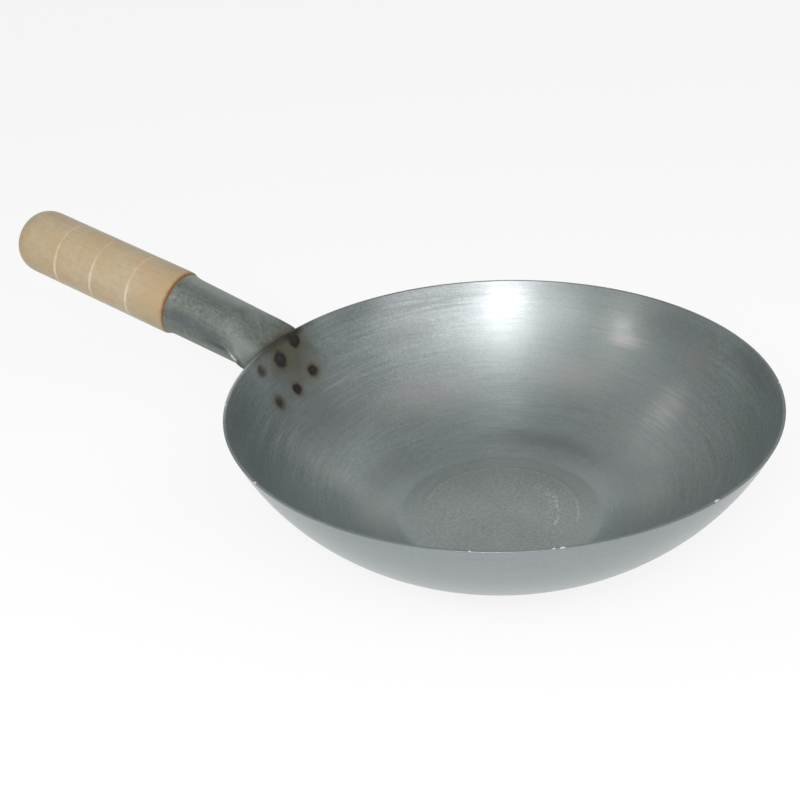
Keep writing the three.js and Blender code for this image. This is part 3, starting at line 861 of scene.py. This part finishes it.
# Patches on the tube: turn in degrees from the top, how far along, half length round it, half length along
# it, colour and how much of it. All are painted light: the dark bands at turns -8, -75 and -85 are painted
# reflections of dark surroundings, and the pale patches at -74 and -58 are painted highlights.
tube_patches = (
    (-8, 0.026, 0.008, 0.050, sheet_dark, 0.45),
    (-75, 0.012, 0.008, 0.020, sheet_blue, 0.9),
    (-85, 0.034, 0.008, 0.020, sheet_blue, 0.9),
    (-74, 0.061, 0.012, 0.014, sheet_pale, 0.7),
    (-58, 0.050, 0.010, 0.016, sheet_pale, 0.3),
)
for turn, reach, half_round, half_length, shade, amount in tube_patches:
    middle = tube_point(reach, math.radians(turn))
    sockets = {"Place": place, "Middle": tuple(middle), "Along": half_round, "Across": half_length}
    mask = place_effect(tree, patch, sockets)["Mask"]
    colour = tinted(tree, colour, shade, mask, amount)

# Painted sheen: the top of the sheet is painted paler where it is seen at a low angle, standing in for the
# bright surroundings that it mirrors there.
glancing = shader_node(tree, "LayerWeight", {"Blend": 0.5}).outputs["Facing"]
on_top = between(tree, up, 0.004, 0.012)
before_bend = between(tree, along, 0.056, 0.068, 1.0, 0.0)
colour = tinted(tree, colour, sheet_glancing_sheen, between(tree, glancing, 0.15, 0.70), on_top, before_bend)

# Painted shade: a dark line under the slits, where the opened upper half overhangs the tube, and a darker
# lower
# tube past the bend. Painted glints: the slits' upper edges are painted bright near the bend.
below = band(tree, up, -0.005, -0.002, -0.001, 0.0)
colour = tinted(tree, colour, slit_shade, below, between(tree, along, 0.026, 0.042), 0.8)
above = band(tree, up, -0.0014, -0.0008, 0.0006, 0.0016)
near_bend = band(tree, along, 0.048, 0.053, 0.058, 0.062)
uneven = between(tree, stains["Small"], 0.42, 0.55, 0.2, 0.9)
colour = tinted(tree, colour, slit_glint, above, near_bend, uneven)
past_bend = between(tree, along, 0.057, 0.062)
colour = tinted(tree, colour, slit_shade, past_bend, between(tree, up, 0.0005, 0.004, 1.0, 0.0), 0.7)

# The weld marks show on the flange's outer face too, a little weaker.
for node, (radius, _, black, bare, brown, softness) in weld_marks.items():
    centre, axis = weld_axis(node)
    outside = moved(centre + axis * socket_sheet, into_handle)
    sockets = {"Place": place, "Centre": tuple(outside), "Radius": radius, "Softness": softness}
    burn = place_effect(tree, weld_burn, sockets)
    colour = tinted(tree, colour, burnt_brown, burn["Halo"], brown)
    colour = tinted(tree, colour, burnt_black, burn["Ring"], 0.9 * black)
    colour = tinted(tree, colour, burnt_middle, burn["Middle"], 0.7 * bare)
roughness = between(tree, lines["Fine"], 0.3, 0.7, 0.44, 0.56)
relief = sums(tree, "ADD", sums(tree, "MULTIPLY", lines["Fine"], 0.4), stains["Small"])
dress(tree, shader, colour, roughness, relief, depth=0.00012)

# The sheet's cut edges are brighter than its faces.
cut_steel, tree, shader, place = new_finish("cut_steel", metallic=1.0)
stains = place_effect(tree, blotches, {"Place": place, "Per metre": 120.0})
colour = blend(tree, between(tree, stains["Small"], 0.42, 0.6), sheet_dark, sheet_cut)
roughness = between(tree, stains["Broad"], 0.2, 0.8, 0.28, 0.42)
dress(tree, shader, colour, roughness, stains["Small"], depth=0.00008)

socket = add_piece("rolled_socket", socket_mesh, mill_steel, "socket_steel", "handle_socket")
socket_mesh.materials.append(cut_steel)
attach(socket, "root")


# Spot welds. Each is a button of steel fused between the bowl and the flange, two rows of three. They are
# hidden between the sheets, so they keep their plain form and only get the scorched finish of the marks.

scorched_steel, tree, shader, place = new_finish("scorched_steel", metallic=1.0)
stains = place_effect(tree, blotches, {"Place": place, "Per metre": 400.0})
colour = blend(tree, stains["Small"], burnt_black, burnt_brown)
roughness = between(tree, stains["Broad"], 0.2, 0.8, 0.5, 0.8)
dress(tree, shader, colour, roughness, stains["Small"], depth=0.0001)
for node in weld_marks:
    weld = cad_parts[node]
    weld.data.materials.clear()
    weld.data.materials.append(scorched_steel)


# Wooden grip. Turned from one piece of pale hardwood, sanded and left bare, with a full round end and three
# scribed rings. Its spigot is driven into the socket, and rust has stained the wood at the joint.

grip_radius = 0.0208
grip_length = 0.1245  # socket mouth to the tip
grip_droop = math.radians(1.7)
grip_dome = 0.017
grip_dome_fullness = 2.35  # 2 is an ellipse, more is squarer
grip_edge = 0.0015
spigot_length = 0.033
spigot_root = 0.0176  # its radius at the shoulder
spigot_end = 0.0161  # its radius at the far end
spigot_chamfer = 0.002
joint_gap = 0.0009  # between the shoulder and the socket's mouth
ring_spacing = 0.0284  # also from the mouth to the first scribed ring
ring_places = [ring_spacing + ring_spacing * count for count in range(3)]
ring_width = 0.0014
ring_depth = 0.0004
scribed_core = 0.0004  # half width of the palest part of a ring
end_step = 0.0005  # from the barrel's rows to the rounded ends

grip_frame = handle_frame @ Matrix.Rotation(-grip_droop, 4, "Y")
shoulder = arc((grip_radius - grip_edge, joint_gap + grip_edge), grip_edge, -math.pi / 2, 0, 6)
barrel_ends = (joint_gap + grip_edge + end_step, grip_length - grip_dome - end_step)
barrel_heights = np.linspace(*barrel_ends, 60)
ring_heights = [ring_place + ring_width * np.linspace(-1, 1, 13) for ring_place in ring_places]
barrel_heights = np.unique(np.concatenate([barrel_heights, *ring_heights]))
barrel = np.stack([np.full_like(barrel_heights, grip_radius), barrel_heights], axis=1)
for ring_place in ring_places:
    barrel[:, 0] -= ring_depth * np.exp(-(((barrel_heights - ring_place) / (ring_width / 2.5)) ** 2))
dome_turns = np.linspace(0, math.pi / 2, 25)
dome = np.stack([
    grip_radius * np.maximum(np.cos(dome_turns), 0) ** (2 / grip_dome_fullness),
    grip_length - grip_dome + grip_dome * np.sin(dome_turns) ** (2 / grip_dome_fullness),
], axis=1)
dome[-1, 0] = 0
spigot = np.array([
    [0, -spigot_length],
    [spigot_end - spigot_chamfer, -spigot_length],
    [spigot_end, spigot_chamfer - spigot_length],
    [spigot_root, joint_gap],
])
grip_profile = np.concatenate([spigot, shoulder, barrel, dome])
grip_turns = np.linspace(0, 2 * math.pi, 97)[:-1]

wood_pale = (0.416, 0.365, 0.250, 1)
wood_warm = (0.422, 0.316, 0.179, 1)
wood_olive = (0.340, 0.310, 0.202, 1)
wood_glancing_sheen = (0.50, 0.48, 0.38, 1)
wood_fibre = (0.30, 0.22, 0.14, 1)
wood_scribed = (0.62, 0.53, 0.42, 1)
wood_soiled = (0.335, 0.268, 0.150, 1)
rust_stain = (0.26, 0.13, 0.045, 1)

bare_wood, tree, shader, place = new_finish("bare_wood", metallic=0.0)
shader.inputs["Specular IOR Level"].default_value = 0.2
place = in_frame(tree, place, grip_frame)
fibres = place_effect(tree, streaks, {"Place": place, "Across": 1100.0, "Along": 50.0})
patches = place_effect(tree, blotches, {"Place": place, "Per metre": 40.0})
lathe_marks = place_effect(tree, tool_rings, {"Place": place, "Per metre": 1600.0})
colour = blend(tree, patches["Broad"], wood_pale, wood_warm)
colour = blend(tree, between(tree, patches["Small"], 0.40, 0.65, 0.0, 0.6), colour, wood_olive)
colour = blend(tree, between(tree, fibres["Fine"], 0.45, 0.70, 0.0, 0.28), colour, wood_fibre)
# Painted sheen: the wood is painted paler and greyer where it is seen at a low angle, standing in for the
# bright surroundings that it mirrors there.
glancing = shader_node(tree, "LayerWeight", {"Blend": 0.5}).outputs["Facing"]
colour = blend(tree, between(tree, glancing, 0.50, 0.95, 0.0, 0.9), colour, wood_glancing_sheen)

# Both ends are soiled by handling.
up, _, along = shader_node(tree, "SeparateXYZ", {0: place}).outputs
at_tip = between(tree, along, 0.080, 0.118, 0.0, 0.32)
at_joint = between(tree, along, 0.004, 0.034, 0.38, 0.0)
colour = blend(tree, sums(tree, "ADD", at_tip, at_joint), colour, wood_soiled)

# The scribed rings are pale, and rubbed fainter on top.
on_top = between(tree, up, 0.004, 0.018, 1.0, 0.25)
rubbed = sums(tree, "MULTIPLY", on_top, between(tree, patches["Small"], 0.3, 0.6, 0.95, 0.5))
for ring_place in ring_places:
    distance = sums(tree, "ABSOLUTE", sums(tree, "SUBTRACT", along, ring_place))
    line = sums(tree, "MULTIPLY", between(tree, distance, scribed_core, ring_width, 1.0, 0.0), rubbed)
    colour = blend(tree, line, colour, wood_scribed)

# Rust from the socket has crept into the fibres at the joint, most on the upper side.
stain_edge = sums(tree, "SUBTRACT", along, sums(tree, "MULTIPLY", fibres["Broad"], 0.003))
near_joint = between(tree, stain_edge, -0.0015, 0.0014, 0.95, 0.0)
colour = tinted(tree, colour, rust_stain, near_joint, between(tree, up, -0.012, 0.010, 0.35, 1.0))

roughness = between(tree, fibres["Fine"], 0.3, 0.7, 0.55, 0.72)
relief = sums(tree, "ADD", fibres["Fine"], sums(tree, "MULTIPLY", lathe_marks["Fine"], 0.5))
dress(tree, shader, colour, roughness, relief, depth=0.00015)

grip_mesh = turned_mesh("turned_grip", turned(grip_profile, grip_turns))
grip_mesh.transform(grip_frame)
grip = add_piece("turned_grip", grip_mesh, bare_wood, "grip_wood", "wood_grip")
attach(grip, "root")


# Nail. A plain wire nail with a low round head, driven through the underside of the socket into the spigot,
# so that the grip can't turn or slip out.

nail_place = 0.017  # from the mouth, along the tube
nail_turn = math.radians(140)  # round from the top of the tube
nail_gap = 0.0003  # under the head
nail_seat = mouth_radius + (neck_radius - mouth_radius) * nail_place / socket_length + nail_gap
nail_length = 0.016
nail_radius = 0.0011
nail_point = 0.003
nail_head_radius = 0.00275
nail_head_edge = 0.0006
nail_head_height = 0.0012
nail_head_round = 0.0002

nail_frame = (
    handle_frame
    @ Matrix.Translation((nail_seat * math.cos(nail_turn), nail_seat * math.sin(nail_turn), -nail_place))
    @ Matrix.Rotation(nail_turn, 4, "Z")
    @ Matrix.Rotation(math.pi / 2, 4, "Y")
)
crown_turns = np.linspace(0, math.pi / 2, 7)
crown = np.stack([
    nail_head_radius * np.cos(crown_turns),
    nail_head_edge + (nail_head_height - nail_head_edge) * np.sin(crown_turns),
], axis=1)
nail_profile = np.concatenate([
    [[0, -nail_length], [nail_radius, nail_point - nail_length], [nail_radius, -nail_gap]],
    rounded(np.array([nail_radius, 0]), np.array([nail_head_radius, 0]), crown[0], nail_head_round, 3),
    crown,
])
nail_profile[-1, 0] = 0

wire_steel, tree, shader, place = new_finish("wire_steel", metallic=1.0)
place = in_frame(tree, place, nail_frame)
stains = place_effect(tree, blotches, {"Place": place, "Per metre": 300.0})
lines = place_effect(tree, streaks, {"Place": place, "Across": 900.0, "Along": 120.0})
colour = blend(tree, stains["Small"], sheet_dark, sheet_light)
roughness = between(tree, lines["Fine"], 0.3, 0.7, 0.3, 0.5)
dress(tree, shader, colour, roughness, stains["Small"], depth=0.0001, strength=0.4)

nail_turns = np.linspace(0, 2 * math.pi, 33)[:-1]
nail_mesh = turned_mesh("grip_pin", turned(nail_profile, nail_turns))
nail_mesh.transform(nail_frame)
nail = add_piece("grip_pin", nail_mesh, wire_steel, "nail_steel", "grip_nail")
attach(nail, "root")


# Studio. A wide pale floor with a low wall round it, under a soft surround that is dark at the horizon, white
# halfway up and grey overhead. Two soft lamps hang beside the camera, a weak one to their left, one to their
# right and a small warm one far to the left. The camera stands in front of the bowl and looks down into it.

floor_radius = 6.0
floor_sides = 96
floor_gap = 0.0003  # below the base
backdrop_height = 0.9
floor_form = bmesh.new()
bmesh.ops.create_circle(floor_form, cap_ends=True, segments=floor_sides, radius=floor_radius)
raised = bmesh.ops.extrude_edge_only(floor_form, edges=list(floor_form.edges))["geom"]
backdrop_top = [item for item in raised if isinstance(item, bmesh.types.BMVert)]
bmesh.ops.translate(floor_form, verts=backdrop_top, vec=(0, 0, backdrop_height))
floor_mesh = bpy.data.meshes.new("studio_floor")
floor_form.to_mesh(floor_mesh)
floor_form.free()
floor = bpy.data.objects.new("studio_floor", floor_mesh)
floor.location.z = bowl_low.z - floor_gap
bpy.context.scene.collection.objects.link(floor)

# The floor glows where it is seen or mirrored, so that it is nearly white but still shows the wok's shadow.
floor_white = (0.9, 0.9, 0.9, 1)
glow_white = (1, 1, 1, 1)
glow_share = 0.8
floor_finish, tree, shader, place = new_finish("studio_floor", metallic=0.0, roughness=0.9)
shader.inputs["Base Color"].default_value = floor_white
shader.inputs["Specular IOR Level"].default_value = 0.0
rays = shader_node(tree, "LightPath").outputs
seen = sums(tree, "MAXIMUM", sums(tree, "MAXIMUM", rays["Is Camera Ray"], rays["Is Glossy Ray"]),
            rays["Is Transmission Ray"])
glow = shader_node(tree, "Emission", {"Color": glow_white, "Strength": 1.0}).outputs[0]
bright_share = sums(tree, "MULTIPLY", seen, glow_share)
surface = shader_node(tree, "MixShader", {0: bright_share, 1: shader.outputs[0], 2: glow}).outputs[0]
tree.links.new(surface, tree.nodes["Material Output"].inputs["Surface"])
floor_mesh.materials.append(floor_finish)

horizon_dark = (0.14, 0.14, 0.14, 1)
lower_grey = (0.45, 0.45, 0.45, 1)
middle_white = (1.0, 1.0, 1.0, 1)
overhead_grey = (0.38, 0.38, 0.38, 1)
surround = bpy.data.worlds.new("studio_surround")
surround.use_nodes = True
bpy.context.scene.world = surround
tree = surround.node_tree
direction = shader_node(tree, "TexCoord").outputs["Generated"]
upward = shader_node(tree, "SeparateXYZ", {0: direction}).outputs[2]
shade = blend(tree, between(tree, upward, 0.10, 0.30), horizon_dark, lower_grey)
shade = blend(tree, between(tree, upward, 0.42, 0.58), shade, middle_white)
shade = blend(tree, between(tree, upward, 0.67, 0.83), shade, overhead_grey)
tree.links.new(shade, tree.nodes["Background"].inputs["Color"])

rim_centre = Vector((0, 0, bowl_depth))


def soft_lamp(name, azimuth, elevation, distance, size, power, tint):
    """A square soft lamp that faces the middle of the bowl, placed by its direction from there."""
    lamp = bpy.data.lights.new(name, "AREA")
    lamp.size = size
    lamp.energy = power
    lamp.color = tint
    turn, lift = math.radians(azimuth), math.radians(elevation)
    away = Vector((math.sin(turn) * math.cos(lift), -math.cos(turn) * math.cos(lift), math.sin(lift)))
    stand = bpy.data.objects.new(name, lamp)
    stand.location = rim_centre + away * distance
    stand.rotation_euler = (-away).to_track_quat("-Z", "Y").to_euler()
    stand.visible_camera = False
    bpy.context.scene.collection.objects.link(stand)


lamp_white = (1, 0.91, 0.95)
lamp_warm = (1, 0.91, 0.84)
soft_lamp("lamp_small", 19, 33.5, 0.9, 0.26, 3.2, lamp_white)
soft_lamp("lamp_middle", -11, 35, 0.9, 0.26, 0.6, lamp_white)
soft_lamp("lamp_large", 32, 38, 1.1, 0.80, 4.0, lamp_white)
soft_lamp("lamp_right", 70, 30, 1.2, 0.60, 2.1, lamp_white)
soft_lamp("lamp_left", -43, 31, 1.2, 0.08, 0.8, lamp_warm)

lens = bpy.data.cameras.new("camera")
lens.sensor_width = 36
lens.lens = 52.2
camera = bpy.data.objects.new("camera", lens)
camera.location = (0.2374, -0.5168, 0.3892)
picture_middle = Vector((-0.0444, -0.0325, bowl_depth))
camera_roll = Quaternion((0, 0, 1), math.radians(-4.05))
facing = (picture_middle - camera.location).to_track_quat("-Z", "Y") @ camera_roll
camera.rotation_euler = facing.to_euler()
bpy.context.scene.collection.objects.link(camera)
bpy.context.scene.camera = camera
bpy.context.scene.view_settings.view_transform = "Standard"
